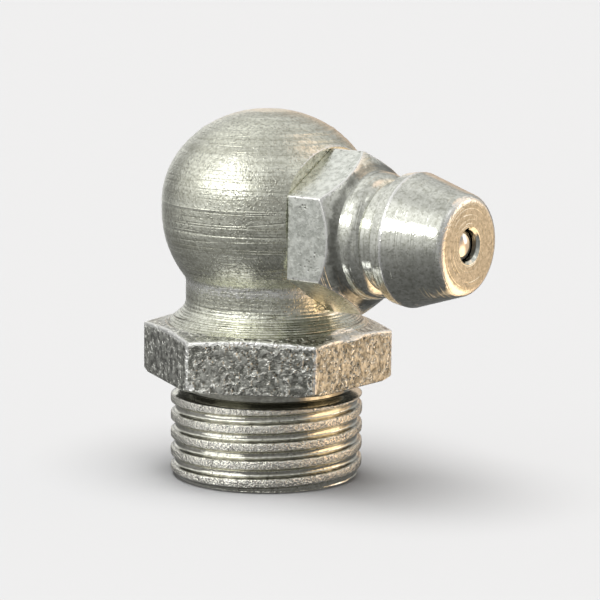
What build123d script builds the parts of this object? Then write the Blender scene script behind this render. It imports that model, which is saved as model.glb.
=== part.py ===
from build123d import *
import math
import os

os.makedirs("parts", exist_ok=True)

# Angled grease fitting, 90 degree form, in millimetres.
# +Z runs up the thread axis from the thread's end face, and +X is the way the nipple points.

# Threaded shank, drawn as a plain cylinder on the major diameter of a G 1/8 thread
thread_d = 9.728
thread_length = 4.2
thread_chamfer_length = 0.85
thread_chamfer_depth = 0.5
relief_d = 8.4
relief_width = 0.87

# Wrench hexagon of the body, with its turned top
body_hex_af = 11.0
body_hex_edge_height = 2.38
body_hex_bottom_chamfer = 0.22
turned_top_angle = 30.0

# Waisted neck and ball head: a round lower half, a short land and a slightly flattened crown
neck_d = 8.24
neck_length = 1.365
neck_lower_fillet = 1.3
ball_head_d = 10.68
ball_land_height = 0.4
ball_crown_height = 4.7
ball_top_flat_d = 1.9

# Grease passage up the shank, cross bore for the nipple and its spot-face
passage_d = 3.0
passage_mouth_chamfer = 0.2
nipple_axis_below_ball_centre = 0.65
spot_face_floor_x = 3.93
spot_face_clearance = 0.06
cross_bore_d = 6.0
cross_bore_depth = 2.8
feed_bore_d = 5.0
feed_bore_depth = 5.7
drill_tip_angle = 118.0

# Nipple stub, seated in the cross bore
stub_clearance = 0.02
stub_length = 2.4
stub_end_chamfer = 0.3
stub_relief_d = 4.9
stub_relief_width = 0.5

# Nipple hexagon, collar and neck
nipple_hex_af = 7.04
nipple_hex_edge_length = 2.02
nipple_hex_chamfer_angle = 25.0
collar_step = 0.04
collar_length = 0.63
collar_taper = 0.18
shoulder_length = 0.85
shoulder_radius = 1.6
nipple_neck_d = 5.4
nipple_neck_length = 0.65

# Coupler head
head_back_length = 0.4
head_back_d = 6.3
head_land_length = 0.61
head_d = 6.52
head_cone_length = 2.82
head_front_d = 4.76
head_rim_chamfer = 0.28

# Valve inside the nipple
countersink_d = 1.8
orifice_d = 1.5
orifice_land = 0.2
seat_half_angle = 45.0
valve_bore_d = 3.0
tail_lip_d = 1.9
tail_lip_length = 0.35

# Check ball and check spring, whose round wire is drawn with flat sides to keep it light
check_ball_d = 2.5
check_ball_seat_gap = 0.04
spring_wire_d = 0.3
spring_wire_sides = 8
spring_mean_d = 2.2
spring_turns = 6.5
spring_end_gap = 0.03


def corner_radius(across_flats):
    """Radius over the corners of a hexagon."""
    return across_flats / math.sqrt(3)


def rise(run, angle):
    """Height gained over a run at an angle in degrees."""
    return run * math.tan(math.radians(angle))


def leg(hypotenuse, other_leg):
    """Third side of a right triangle."""
    return math.sqrt(hypotenuse**2 - other_leg**2)


# Radii and heights of the body, from the thread's end face upwards
body_corner_r = corner_radius(body_hex_af)
thread_r, relief_r = thread_d / 2, relief_d / 2
neck_r, ball_r, ball_top_flat_r = neck_d / 2, ball_head_d / 2, ball_top_flat_d / 2
hex_bottom_z = thread_length + relief_width
hex_edge_top_z = hex_bottom_z + body_hex_edge_height
neck_foot_z = hex_edge_top_z + rise(body_corner_r - neck_r, turned_top_angle)
neck_top_z = neck_foot_z + neck_length
ball_centre_z = neck_top_z + leg(ball_r, neck_r)
nipple_axis_z = ball_centre_z - nipple_axis_below_ball_centre

# The nipple's own drawing plane: local x runs along its axis, local y is the radius
nipple_plane = Plane(origin=(0, 0, nipple_axis_z), x_dir=(1, 0, 0), z_dir=(0, -1, 0))
nipple_axis = Axis((0, 0, nipple_axis_z), (1, 0, 0))

# Elbow body: hexagon bar turned down to shank, neck and ball, then drilled and spot-faced
ball_foot_angle = -math.degrees(math.acos(neck_r / ball_r))
crown_base_z = ball_centre_z + ball_land_height
ball_top_z = crown_base_z + ball_crown_height * leg(ball_r, ball_top_flat_r) / ball_r
crown_end_angle = math.degrees(math.acos(ball_top_flat_r / ball_r))

cross_bore_r, feed_bore_r = cross_bore_d / 2, feed_bore_d / 2
spot_face_r = corner_radius(nipple_hex_af) + spot_face_clearance
cross_bore_end_x = spot_face_floor_x - cross_bore_depth
feed_bore_end_x = spot_face_floor_x - feed_bore_depth
drill_tip_x = feed_bore_end_x - rise(feed_bore_r, 90 - drill_tip_angle / 2)

with BuildPart() as elbow_body:
    with BuildSketch():
        RegularPolygon(radius=body_hex_af / 2, side_count=6, major_radius=False, rotation=30)
    extrude(amount=ball_top_z)
    with BuildSketch(Plane.XZ) as body_outline:
        with BuildLine():
            Polyline(
                (0, ball_top_z),
                (0, 0),
                (thread_r - thread_chamfer_depth, 0),
                (thread_r, thread_chamfer_length),
                (thread_r, thread_length),
                (relief_r, thread_length),
                (relief_r, hex_bottom_z),
                (body_corner_r - rise(body_hex_bottom_chamfer, 60), hex_bottom_z),
                (body_corner_r, hex_bottom_z + body_hex_bottom_chamfer),
                (body_corner_r, hex_edge_top_z),
                (neck_r, neck_foot_z),
                (neck_r, neck_top_z),
            )
            CenterArc((0, ball_centre_z), ball_r, ball_foot_angle, -ball_foot_angle)
            Line((ball_r, ball_centre_z), (ball_r, crown_base_z))
            EllipticalCenterArc((0, crown_base_z), ball_r, ball_crown_height, 0, arc_size=crown_end_angle)
            Line((ball_top_flat_r, ball_top_z), (0, ball_top_z))
        make_face()
        neck_foot = body_outline.vertices().sort_by_distance((neck_r, neck_foot_z))[0]
        fillet(neck_foot, radius=neck_lower_fillet)
    revolve(axis=Axis.Z, mode=Mode.INTERSECT)
    with BuildSketch():
        Circle(passage_d / 2)
    extrude(amount=nipple_axis_z, mode=Mode.SUBTRACT)
    with BuildSketch(nipple_plane):
        with BuildLine():
            Polyline(
                (drill_tip_x, 0),
                (feed_bore_end_x, feed_bore_r),
                (cross_bore_end_x, feed_bore_r),
                (cross_bore_end_x, cross_bore_r),
                (spot_face_floor_x, cross_bore_r),
                (spot_face_floor_x, spot_face_r),
                (body_corner_r, spot_face_r),
                (body_corner_r, 0),
                close=True,
            )
        make_face()
    revolve(axis=nipple_axis, mode=Mode.SUBTRACT)
    mouth = elbow_body.edges().filter_by(GeomType.CIRCLE).group_by(Axis.Z)[0].sort_by(SortBy.RADIUS)[0]
    chamfer(mouth, length=passage_mouth_chamfer)
elbow_body.part.label = "elbow_body"
export_step(elbow_body.part, "parts/elbow_body.step")

# Nipple: hexagon bar turned down to stub, collar, neck and coupler head, then bored from the tail
nipple_corner_r = corner_radius(nipple_hex_af)
stub_r, stub_relief_r = cross_bore_r - stub_clearance, stub_relief_d / 2
collar_back_r = nipple_hex_af / 2 - collar_step
collar_front_r = collar_back_r - collar_taper
nipple_neck_r, head_back_r, head_r, head_front_r = (
    nipple_neck_d / 2,
    head_back_d / 2,
    head_d / 2,
    head_front_d / 2,
)
stub_end_x = spot_face_floor_x - stub_length
hex_front_x = spot_face_floor_x + nipple_hex_edge_length
collar_back_x = hex_front_x + rise(nipple_corner_r - collar_back_r, nipple_hex_chamfer_angle)
collar_front_x = collar_back_x + collar_length
neck_back_x = collar_front_x + shoulder_length
neck_front_x = neck_back_x + nipple_neck_length
head_back_x = neck_front_x + head_back_length
head_edge_x = head_back_x + head_land_length
head_face_x = head_edge_x + head_cone_length

countersink_r, orifice_r, valve_bore_r = countersink_d / 2, orifice_d / 2, valve_bore_d / 2
tail_lip_r = tail_lip_d / 2
orifice_front_x = head_face_x - (countersink_r - orifice_r)
orifice_back_x = orifice_front_x - orifice_land
seat_back_x = orifice_back_x - rise(valve_bore_r - orifice_r, 90 - seat_half_angle)
tail_lip_x = stub_end_x + tail_lip_length

with BuildPart() as nipple:
    with BuildSketch(Plane(origin=(stub_end_x, 0, nipple_axis_z), x_dir=(0, 1, 0), z_dir=(1, 0, 0))):
        RegularPolygon(radius=nipple_hex_af / 2, side_count=6, major_radius=False, rotation=30)
    extrude(amount=head_face_x - stub_end_x)
    with BuildSketch(nipple_plane) as nipple_outline:
        with BuildLine():
            Polyline(
                (head_face_x, 0),
                (stub_end_x, 0),
                (stub_end_x, stub_r - stub_end_chamfer),
                (stub_end_x + stub_end_chamfer, stub_r),
                (spot_face_floor_x - stub_relief_width, stub_r),
                (spot_face_floor_x - stub_relief_width, stub_relief_r),
                (spot_face_floor_x, stub_relief_r),
                (spot_face_floor_x, nipple_corner_r),
                (hex_front_x, nipple_corner_r),
                (collar_back_x, collar_back_r),
                (collar_front_x, collar_front_r),
            )
            RadiusArc((collar_front_x, collar_front_r), (neck_back_x, nipple_neck_r), -shoulder_radius)
            Polyline(
                (neck_back_x, nipple_neck_r),
                (neck_front_x, nipple_neck_r),
                (head_back_x, head_back_r),
                (head_edge_x, head_r),
                (head_face_x, head_front_r),
                (head_face_x, 0),
            )
        make_face()
        rim = nipple_outline.vertices().sort_by_distance((head_face_x, head_front_r))[0]
        chamfer(rim, length=head_rim_chamfer)
    revolve(axis=nipple_axis, mode=Mode.INTERSECT)
    with BuildSketch(nipple_plane):
        with BuildLine():
            Polyline(
                (head_face_x, 0),
                (head_face_x, countersink_r),
                (orifice_front_x, orifice_r),
                (orifice_back_x, orifice_r),
                (seat_back_x, valve_bore_r),
                (tail_lip_x, valve_bore_r),
                (tail_lip_x, tail_lip_r),
                (stub_end_x, tail_lip_r),
                (stub_end_x, 0),
                close=True,
            )
        make_face()
    revolve(axis=nipple_axis, mode=Mode.SUBTRACT)
nipple.part.label = "nipple"
export_step(nipple.part, "parts/nipple.step")

# Check ball, a small gap behind its conical seat
check_ball_r = check_ball_d / 2
seat_apex_x = orifice_back_x + orifice_r / math.tan(math.radians(seat_half_angle))
check_ball_x = seat_apex_x - (check_ball_r + check_ball_seat_gap) / math.sin(math.radians(seat_half_angle))

with BuildPart() as check_ball:
    with Locations((check_ball_x, 0, nipple_axis_z)):
        Sphere(check_ball_r)
check_ball.part.label = "check_ball"
export_step(check_ball.part, "parts/check_ball.step")

# Check spring: a helix with both ends ground flat, from the tail lip to the ball
spring_wire_r, spring_mean_r = spring_wire_d / 2, spring_mean_d / 2
spring_back_x = tail_lip_x + spring_end_gap
spring_front_x = check_ball_x - leg(check_ball_r + spring_wire_r + spring_end_gap, spring_mean_r)
spring_length = spring_front_x - spring_back_x
spring_pitch = spring_length / spring_turns

with BuildPart() as check_spring:
    with BuildLine() as coil:
        Helix(
            pitch=spring_pitch,
            height=spring_length,
            radius=spring_mean_r,
            center=(spring_back_x, 0, nipple_axis_z),
            direction=(1, 0, 0),
        )
    with BuildSketch(Plane(origin=coil.line @ 0, z_dir=coil.line % 0)):
        RegularPolygon(radius=spring_wire_r, side_count=spring_wire_sides)
    sweep(is_frenet=True)
    back_end = Plane(origin=(spring_back_x, 0, nipple_axis_z), z_dir=(1, 0, 0))
    split(bisect_by=back_end, keep=Keep.TOP)
    split(bisect_by=back_end.offset(spring_length), keep=Keep.BOTTOM)
check_spring.part.label = "check_spring"
export_step(check_spring.part, "parts/check_spring.step")

for piece in (elbow_body, nipple, check_ball, check_spring):
    box = piece.part.bounding_box()
    print(piece.part.label, round(piece.part.volume, 3), box.min, box.max)
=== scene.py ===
"""Angled grease fitting: the dressed model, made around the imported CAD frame."""

import logging
import math
from dataclasses import dataclass
from enum import Enum
from typing import Any, Iterator, Optional, Sequence

import bpy
import numpy as np
from mathutils import Matrix


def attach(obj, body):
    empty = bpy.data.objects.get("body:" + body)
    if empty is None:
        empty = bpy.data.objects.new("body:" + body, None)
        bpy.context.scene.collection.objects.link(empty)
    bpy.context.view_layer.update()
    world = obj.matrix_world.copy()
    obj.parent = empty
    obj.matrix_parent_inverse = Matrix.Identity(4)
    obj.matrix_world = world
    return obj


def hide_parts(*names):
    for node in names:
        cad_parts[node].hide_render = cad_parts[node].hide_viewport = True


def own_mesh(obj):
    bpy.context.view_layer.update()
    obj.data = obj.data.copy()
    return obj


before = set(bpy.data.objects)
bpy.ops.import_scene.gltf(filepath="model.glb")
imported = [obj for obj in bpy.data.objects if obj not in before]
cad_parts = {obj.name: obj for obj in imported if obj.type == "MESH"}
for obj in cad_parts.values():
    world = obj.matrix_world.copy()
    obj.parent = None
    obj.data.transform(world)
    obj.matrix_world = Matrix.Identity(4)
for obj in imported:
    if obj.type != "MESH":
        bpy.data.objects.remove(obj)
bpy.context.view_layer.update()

LOG = logging.getLogger("grease_fitting")

Array = np.ndarray
Piece = bpy.types.Object
Material = bpy.types.Material
Tree = bpy.types.NodeTree
Colour = tuple[float, float, float]

MM = 0.001
MICROMETRE = 1e-6
NIPPLE_AXIS_Z = 12.85
SIXTH = math.pi / 3
SHARP_ANGLE = math.radians(33)
ROUNDING_SHARE = 0.45
ON_SURFACE = 0.03


class Axis(Enum):
    """Turning axes of the fitting."""

    SHANK = "up Z, through the origin"
    NIPPLE = "along X, at the nipple's height"


class Body(Enum):
    """Rigid bodies of the frame."""

    FITTING = "fitting"
    BALL = "ball"


# Surfaces worked out with numpy


def run(start: Array, end: Array, steps: int) -> Array:
    """Points along a straight run, start + (end - start) * t, without its first point.

    Args:
        start: Radius and height of the start, one pair for each angle.
        end: The same for the end.
        steps: Number of equal steps.

    Returns:
        Points shaped (steps, angles, 2).
    """
    t = np.linspace(0, 1, steps + 1)[1:, None, None]
    return start + (end - start) * t


@dataclass
class Corner:
    """A corner of an outline: its radius and height at every angle, and how it is reached and rounded."""

    place: Array
    steps: int = 1
    rounding: float = 0.0
    arc_steps: int = 5


def corner_arc(before: Array, corner: Array, after: Array, radius: float, steps: int) -> Array:
    """Arc that rounds one corner of an outline.

    The tangent points lie radius / tan(half the corner's angle) along the two runs, or less where a run is
    short, the centre lies on their bisector, and the arc turns from one tangent point to the other about it.

    Args:
        before: Point before the corner, one pair for each angle.
        corner: The corner itself.
        after: Point after the corner.
        radius: Radius of the rounding.
        steps: Number of steps along the arc.

    Returns:
        Points shaped (steps + 1, angles, 2), tangent points included.
    """
    lengths = [np.linalg.norm(end - corner, axis=-1, keepdims=True) for end in (before, after)]
    back, on = (before - corner) / lengths[0], (after - corner) / lengths[1]
    half = np.arccos(np.clip((back * on).sum(-1, keepdims=True), -1, 1)) / 2
    tangent = np.minimum(radius / np.tan(half), np.minimum(*lengths) * ROUNDING_SHARE)
    bisector = (back + on) / np.linalg.norm(back + on, axis=-1, keepdims=True)
    centre = corner + bisector * tangent * np.tan(half) / np.sin(half)
    first, last = corner + back * tangent - centre, corner + on * tangent - centre
    turn = math.pi - 2 * half
    t = np.linspace(0, 1, steps + 1)[:, None, None]
    return centre + (first * np.sin((1 - t) * turn) + last * np.sin(t * turn)) / np.sin(turn)


def rounded_outline(corners: Sequence[Corner]) -> Array:
    """Outline of straight runs with rounded corners, for every angle at once.

    Args:
        corners: The outline's corners in order. The first and the last are never rounded.

    Returns:
        Points shaped (rows, angles, 2), from the first corner to the last.
    """
    rows = [corners[0].place[None]]
    for corner, after in zip(corners[1:-1], corners[2:]):
        start = rows[-1][-1]
        if corner.rounding:
            arc = corner_arc(start, corner.place, after.place, corner.rounding, corner.arc_steps)
            rows += [run(start, arc[0], corner.steps), arc[1:]]
        else:
            rows.append(run(start, corner.place, corner.steps))
    rows.append(run(rows[-1][-1], corners[-1].place, corners[-1].steps))
    return np.concatenate(rows)


def pairs(radius: Any, height: Any, count: int) -> Array:
    """Radius and height, each a number or an array over the angles, as pairs shaped (count, 2)."""
    return np.stack(np.broadcast_arrays(radius, height, np.zeros(count))[:2], -1)


def spin(outline: Array, angles: Array, axis: Axis) -> Array:
    """Outline turned about an axis: (radius cos a, radius sin a) across it and the height along it.

    Args:
        outline: Radius and height, shaped (rows, angles, 2).
        angles: Angle of each column, in radians.
        axis: Turning axis.

    Returns:
        Points shaped (rows, angles, 3), in millimetres.
    """
    radius, along = outline[..., 0], outline[..., 1]
    side, up = radius * np.cos(angles), radius * np.sin(angles)
    if axis is Axis.SHANK:
        return np.stack((side, up, along), -1)
    return np.stack((along, side, up + NIPPLE_AXIS_Z), -1)


def polar(points: Array, axis: Axis) -> tuple[Array, Array, Array]:
    """Angle round an axis, distance from it and place along it: spin turned back.

    Args:
        points: Points in millimetres, shaped (..., 3).
        axis: Turning axis.

    Returns:
        Angle in radians, distance and place along the axis of each point.
    """
    x, y, z = np.moveaxis(points, -1, 0)
    side, up, along = (x, y, z) if axis is Axis.SHANK else (y, z - NIPPLE_AXIS_Z, x)
    return np.arctan2(up, side), np.hypot(side, up), along


def bell(off: Array, width: float) -> Array:
    """Bell of height 1 around nought, exp(-(off / width)^2)."""
    return np.exp(-((off / width) ** 2))


@dataclass(frozen=True)
class Hexagon:
    """Hexagon round an axis, with rounded corners at 30, 90, 150 degrees and so on."""

    across_flats: float
    edge_radius: float

    @property
    def corner(self) -> float:
        """Distance of the sharp corners from the axis."""
        return self.across_flats / math.sqrt(3)

    @property
    def limit(self) -> float:
        """Angle from a corner at which its rounding ends."""
        half = self.across_flats / 2
        return SIXTH / 2 - math.atan((half - self.edge_radius) * math.tan(SIXTH / 2) / half)

    def radius(self, angles: Array) -> Array:
        """Distance of the surface from the axis at each angle.

        Along a flat it is half the width / cos(angle from the flat's middle). At a corner it is the far
        crossing of the ray with the corner's circle, c cos(a) + sqrt(r^2 - c^2 sin(a)^2), where c is the
        distance of the circle's centre.

        Args:
            angles: Polar angles in radians.

        Returns:
            Radius at each angle.
        """
        half = self.across_flats / 2
        off = np.abs(np.mod(angles, SIXTH) - SIXTH / 2)
        centre = (half - self.edge_radius) / math.cos(SIXTH / 2)
        arc = centre * np.cos(off) + np.sqrt(np.maximum(self.edge_radius**2 - (centre * np.sin(off)) ** 2, 0))
        return np.where(off < self.limit, arc, half / np.cos(SIXTH / 2 - off))

    def angles(self, edge_steps: int, flat_steps: int) -> Array:
        """Angles round the hexagon: close together over each rounded corner, wider over each flat.

        Args:
            edge_steps: Steps over each rounded corner.
            flat_steps: Steps over each flat.

        Returns:
            Polar angles in radians.
        """
        edge = np.linspace(-self.limit, self.limit, edge_steps + 1)[:-1]
        flat = np.linspace(self.limit, SIXTH - self.limit, flat_steps + 1)[:-1]
        sector = np.concatenate((edge, flat)) + SIXTH / 2
        return np.concatenate([sector + SIXTH * k for k in range(6)])

    def corner_wear(self, angles: Array, radius: Array, width: float) -> Array:
        """1 along the corners, fading over a width on each side, and 0 off the hexagon's surface."""
        off = radius * np.abs(np.mod(angles, SIXTH) - SIXTH / 2)
        return bell(off, width) * (np.abs(radius - self.radius(angles)) < ON_SURFACE)


@dataclass
class Skin:
    """Vertices in millimetres, with four-sided and three-sided faces that point outwards."""

    points: Array
    quads: Array
    triangles: Array

    @classmethod
    def over(cls, grid: Array, poles: Optional[Sequence[Any]] = None) -> "Skin":
        """Closed surface over a grid whose columns go round.

        Args:
            grid: Points shaped (rows, columns, 3).
            poles: Points that close the first and last row; without them the last row joins the first.

        Returns:
            The surface.
        """
        rows, columns = grid.shape[:2]
        index = np.arange(rows * columns).reshape(rows, columns)
        ahead = np.roll(index, -1, axis=1)
        lower, upper = (index, np.roll(index, -1, axis=0)) if poles is None else (index[:-1], index[1:])
        lower_on, upper_on = np.roll(lower, -1, axis=1), np.roll(upper, -1, axis=1)
        quads = np.stack((lower, lower_on, upper_on, upper), -1).reshape(-1, 4)
        points = grid.reshape(-1, 3)
        if poles is None:
            return cls(points, quads, np.empty((0, 3), int))
        start, end = len(points), len(points) + 1
        first = np.stack((ahead[0], index[0], np.full(columns, start)), -1)
        last = np.stack((index[-1], ahead[-1], np.full(columns, end)), -1)
        return cls(np.vstack((points, poles)), quads, np.vstack((first, last)))

    def to_object(self, name: str) -> Piece:
        """Make a mesh object of this surface, in metres.

        Args:
            name: Name of the object.

        Returns:
            The object, linked to the scene.
        """
        mesh = bpy.data.meshes.new(name)
        mesh.vertices.add(len(self.points))
        mesh.vertices.foreach_set("co", (self.points * MM).ravel())
        corners = np.concatenate((self.quads.ravel(), self.triangles.ravel())).astype(np.int32)
        sizes = np.concatenate((np.full(len(self.quads), 4), np.full(len(self.triangles), 3)))
        mesh.loops.add(len(corners))
        mesh.loops.foreach_set("vertex_index", corners)
        mesh.polygons.add(len(sizes))
        mesh.polygons.foreach_set("loop_start", (np.cumsum(sizes) - sizes).astype(np.int32))
        mesh.update(calc_edges=True)
        mesh.validate()
        made = bpy.data.objects.new(name, mesh)
        bpy.context.scene.collection.objects.link(made)
        return made


def cut(piece: Piece, cutter: Piece) -> None:
    """Take a closed cutter out of a closed piece, and remove the cutter.

    Args:
        piece: The piece that is cut.
        cutter: The shape to take out of it.
    """
    modifier = piece.modifiers.new("cut", "BOOLEAN")
    modifier.object, modifier.operation, modifier.solver = cutter, "DIFFERENCE", "MANIFOLD"
    graph = bpy.context.evaluated_depsgraph_get()
    mesh = bpy.data.meshes.new_from_object(piece.evaluated_get(graph))
    piece.modifiers.clear()
    old, piece.data = piece.data, mesh
    bpy.data.meshes.remove(old)
    bpy.data.objects.remove(cutter)


def read_points(elements: Any, name: str) -> Array:
    """One vector of each vertex or face of a mesh, in millimetres.

    Args:
        elements: Vertices or faces of a mesh.
        name: Name of the vector: co of a vertex, center of a face.

    Returns:
        Points shaped (elements, 3).
    """
    points = np.empty(len(elements) * 3, np.float32)
    elements.foreach_get(name, points)
    return points.reshape(-1, 3).astype(float) / MM


def dress(piece: Piece, body: Body, node: str, slot: str, finishes: Sequence[Material],
          finish: Optional[Array] = None, **masks: Array) -> None:
    """Give a piece its finishes, and let it ride on a body in place of a CAD node.

    Args:
        piece: The piece.
        body: Body that it rides on.
        node: CAD node that it replaces.
        slot: Not used.
        finishes: Its materials.
        finish: Number of each face's material; without it every face has the first.
        masks: One value for each vertex, stored under each mask's name.
    """
    for name, values in masks.items():
        stored = piece.data.attributes.new(name, "FLOAT", "POINT")
        stored.data.foreach_set("value", values.astype(np.float32))
    piece.data.materials.clear()
    for material in finishes:
        piece.data.materials.append(material)
    if finish is not None:
        piece.data.polygons.foreach_set("material_index", finish.astype(np.int32))
    piece.data.shade_smooth()
    piece.data.set_sharp_from_angle(angle=SHARP_ANGLE)
    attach(piece, body.value)
    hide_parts(node)
    LOG.info("%s: %d vertices, %d faces, rides on %s", piece.name, len(piece.data.vertices),
             len(piece.data.polygons), body.value)


# Finishes


@dataclass(frozen=True)
class Signal:
    """Output of a node that reckons like a number: +, -, * and abs() add Math nodes."""

    graph: "Graph"
    socket: bpy.types.NodeSocket

    def maths(self, operation: str, *others: Any) -> "Signal":
        """Math node on this value and the others."""
        return self.graph.add("ShaderNodeMath", dict(enumerate((self, *others))), operation=operation)

    def __add__(self, other: Any) -> "Signal":
        """Sum."""
        return self.maths("ADD", other)

    def __sub__(self, other: Any) -> "Signal":
        """Difference."""
        return self.maths("SUBTRACT", other)

    def __mul__(self, other: Any) -> "Signal":
        """Product."""
        return self.maths("MULTIPLY", other)

    def __abs__(self) -> "Signal":
        """Size without sign."""
        return self.maths("ABSOLUTE")

    def span(self, low: float, high: float, to_low: float = 0, to_high: float = 1) -> "Signal":
        """Map a range smoothly onto another, clamped."""
        limits = {"Value": self, "From Min": low, "From Max": high, "To Min": to_low, "To Max": to_high}
        return self.graph.add("ShaderNodeMapRange", limits, interpolation_type="SMOOTHSTEP")

    def other(self, name: str) -> "Signal":
        """Another output of the same node."""
        return Signal(self.graph, self.socket.node.outputs[name])


class Graph:
    """A node tree with short ways to add and wire its nodes."""

    def __init__(self, tree: Tree) -> None:
        """Start on an empty tree."""
        tree.nodes.clear()
        self.tree = tree

    def fill(self, node: bpy.types.Node, inputs: dict[Any, Any]) -> None:
        """Link or set inputs of a node.

        Args:
            node: The node.
            inputs: Number, vector or Signal for each named or numbered input.
        """
        for key, value in inputs.items():
            if isinstance(value, Signal):
                self.tree.links.new(value.socket, node.inputs[key])
            else:
                node.inputs[key].default_value = value

    def add(self, kind: str, inputs: Optional[dict[Any, Any]] = None, out: Any = 0, **settings: Any) -> Any:
        """Add a node.

        Args:
            kind: Node type.
            inputs: Number, vector or Signal for each named or numbered input.
            out: Name or number of the output that is wanted.
            settings: Properties of the node.

        Returns:
            The output as a Signal, or None where the node has none.
        """
        node = self.tree.nodes.new(kind)
        for key, value in settings.items():
            setattr(node, key, value)
        self.fill(node, inputs or {})
        return Signal(self, node.outputs[out]) if len(node.outputs) else None

    def group(self, tree: Tree, **inputs: Any) -> dict[str, Signal]:
        """Place a node group.

        Args:
            tree: The node group.
            inputs: Number, vector or Signal for each named input.

        Returns:
            Its outputs by name.
        """
        node = self.tree.nodes.new("ShaderNodeGroup")
        node.node_tree = tree
        self.fill(node, inputs)
        return {output.name: Signal(self, output) for output in node.outputs}

    def vector(self, operation: str, *values: Any, out: int = 0) -> Signal:
        """Vector Math node on one to three vectors."""
        return self.add("ShaderNodeVectorMath", dict(enumerate(values)), out, operation=operation)

    def scaled(self, vector: Any, scale: Any) -> Signal:
        """A vector times a number."""
        return self.add("ShaderNodeVectorMath", {0: vector, "Scale": scale}, operation="SCALE")

    def split(self, vector: Signal) -> list[Signal]:
        """The three parts of a vector."""
        parts = self.add("ShaderNodeSeparateXYZ", {0: vector})
        return [parts.other(name) for name in "XYZ"]

    def join(self, *parts: Any) -> Signal:
        """A vector of its parts."""
        return self.add("ShaderNodeCombineXYZ", dict(enumerate(parts)))

    def mix(self, factor: Any, first: Any, second: Any) -> Signal:
        """Mix of two numbers."""
        return self.add("ShaderNodeMix", {0: factor, 2: first, 3: second})

    def blend(self, factor: Any, first: Any, second: Any) -> Signal:
        """Mix of two colours."""
        first, second = (each if isinstance(each, Signal) else (*each, 1) for each in (first, second))
        return self.add("ShaderNodeMix", {0: factor, 6: first, 7: second}, 2, data_type="RGBA")

    def noise(self, vector: Any, scale: float, detail: float = 3, roughness: float = 0.55,
              fourth: Optional[Signal] = None) -> Signal:
        """Fractal noise from 0 to 1.

        Args:
            vector: Coordinates.
            scale: Scale of the noise.
            detail: Number of finer layers.
            roughness: Strength of the finer layers.
            fourth: Fourth coordinate, where there is one.

        Returns:
            The noise.
        """
        inputs = {"Vector": vector, "Scale": scale, "Detail": detail, "Roughness": roughness}
        if fourth is None:
            return self.add("ShaderNodeTexNoise", inputs)
        return self.add("ShaderNodeTexNoise", {**inputs, "W": fourth}, noise_dimensions="4D")

    def metal(self, colour: Signal, rough: Signal, normal: Signal) -> None:
        """Give the material a metal surface.

        Args:
            colour: Its colour.
            rough: Its roughness.
            normal: Its normal.
        """
        shader = self.add("ShaderNodeBsdfPrincipled", {"Base Color": colour, "Metallic": 1.0,
                                                       "Roughness": rough, "Normal": normal})
        self.add("ShaderNodeOutputMaterial", {"Surface": shader})


class Group(Graph):
    """A shader node group with named inputs and outputs."""

    def __init__(self, name: str, inputs: Sequence[str], outputs: Sequence[str]) -> None:
        """Start the group.

        Args:
            name: Name of the group.
            inputs: Names of its inputs.
            outputs: Names of its outputs. A Vector or Color is made as one, and the rest as plain values.
        """
        super().__init__(bpy.data.node_groups.new(name, "ShaderNodeTree"))
        for names, side in ((inputs, "INPUT"), (outputs, "OUTPUT")):
            for socket in names:
                kind = socket if socket in ("Vector", "Color") else "Float"
                self.tree.interface.new_socket(socket, in_out=side, socket_type="NodeSocket" + kind)
        given = self.tree.nodes.new("NodeGroupInput")
        self.given = [Signal(self, given.outputs[name]) for name in inputs]

    def give(self, **outputs: Signal) -> Tree:
        """Wire the outputs, and return the finished tree."""
        self.fill(self.tree.nodes.new("NodeGroupOutput"), outputs)
        return self.tree


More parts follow.
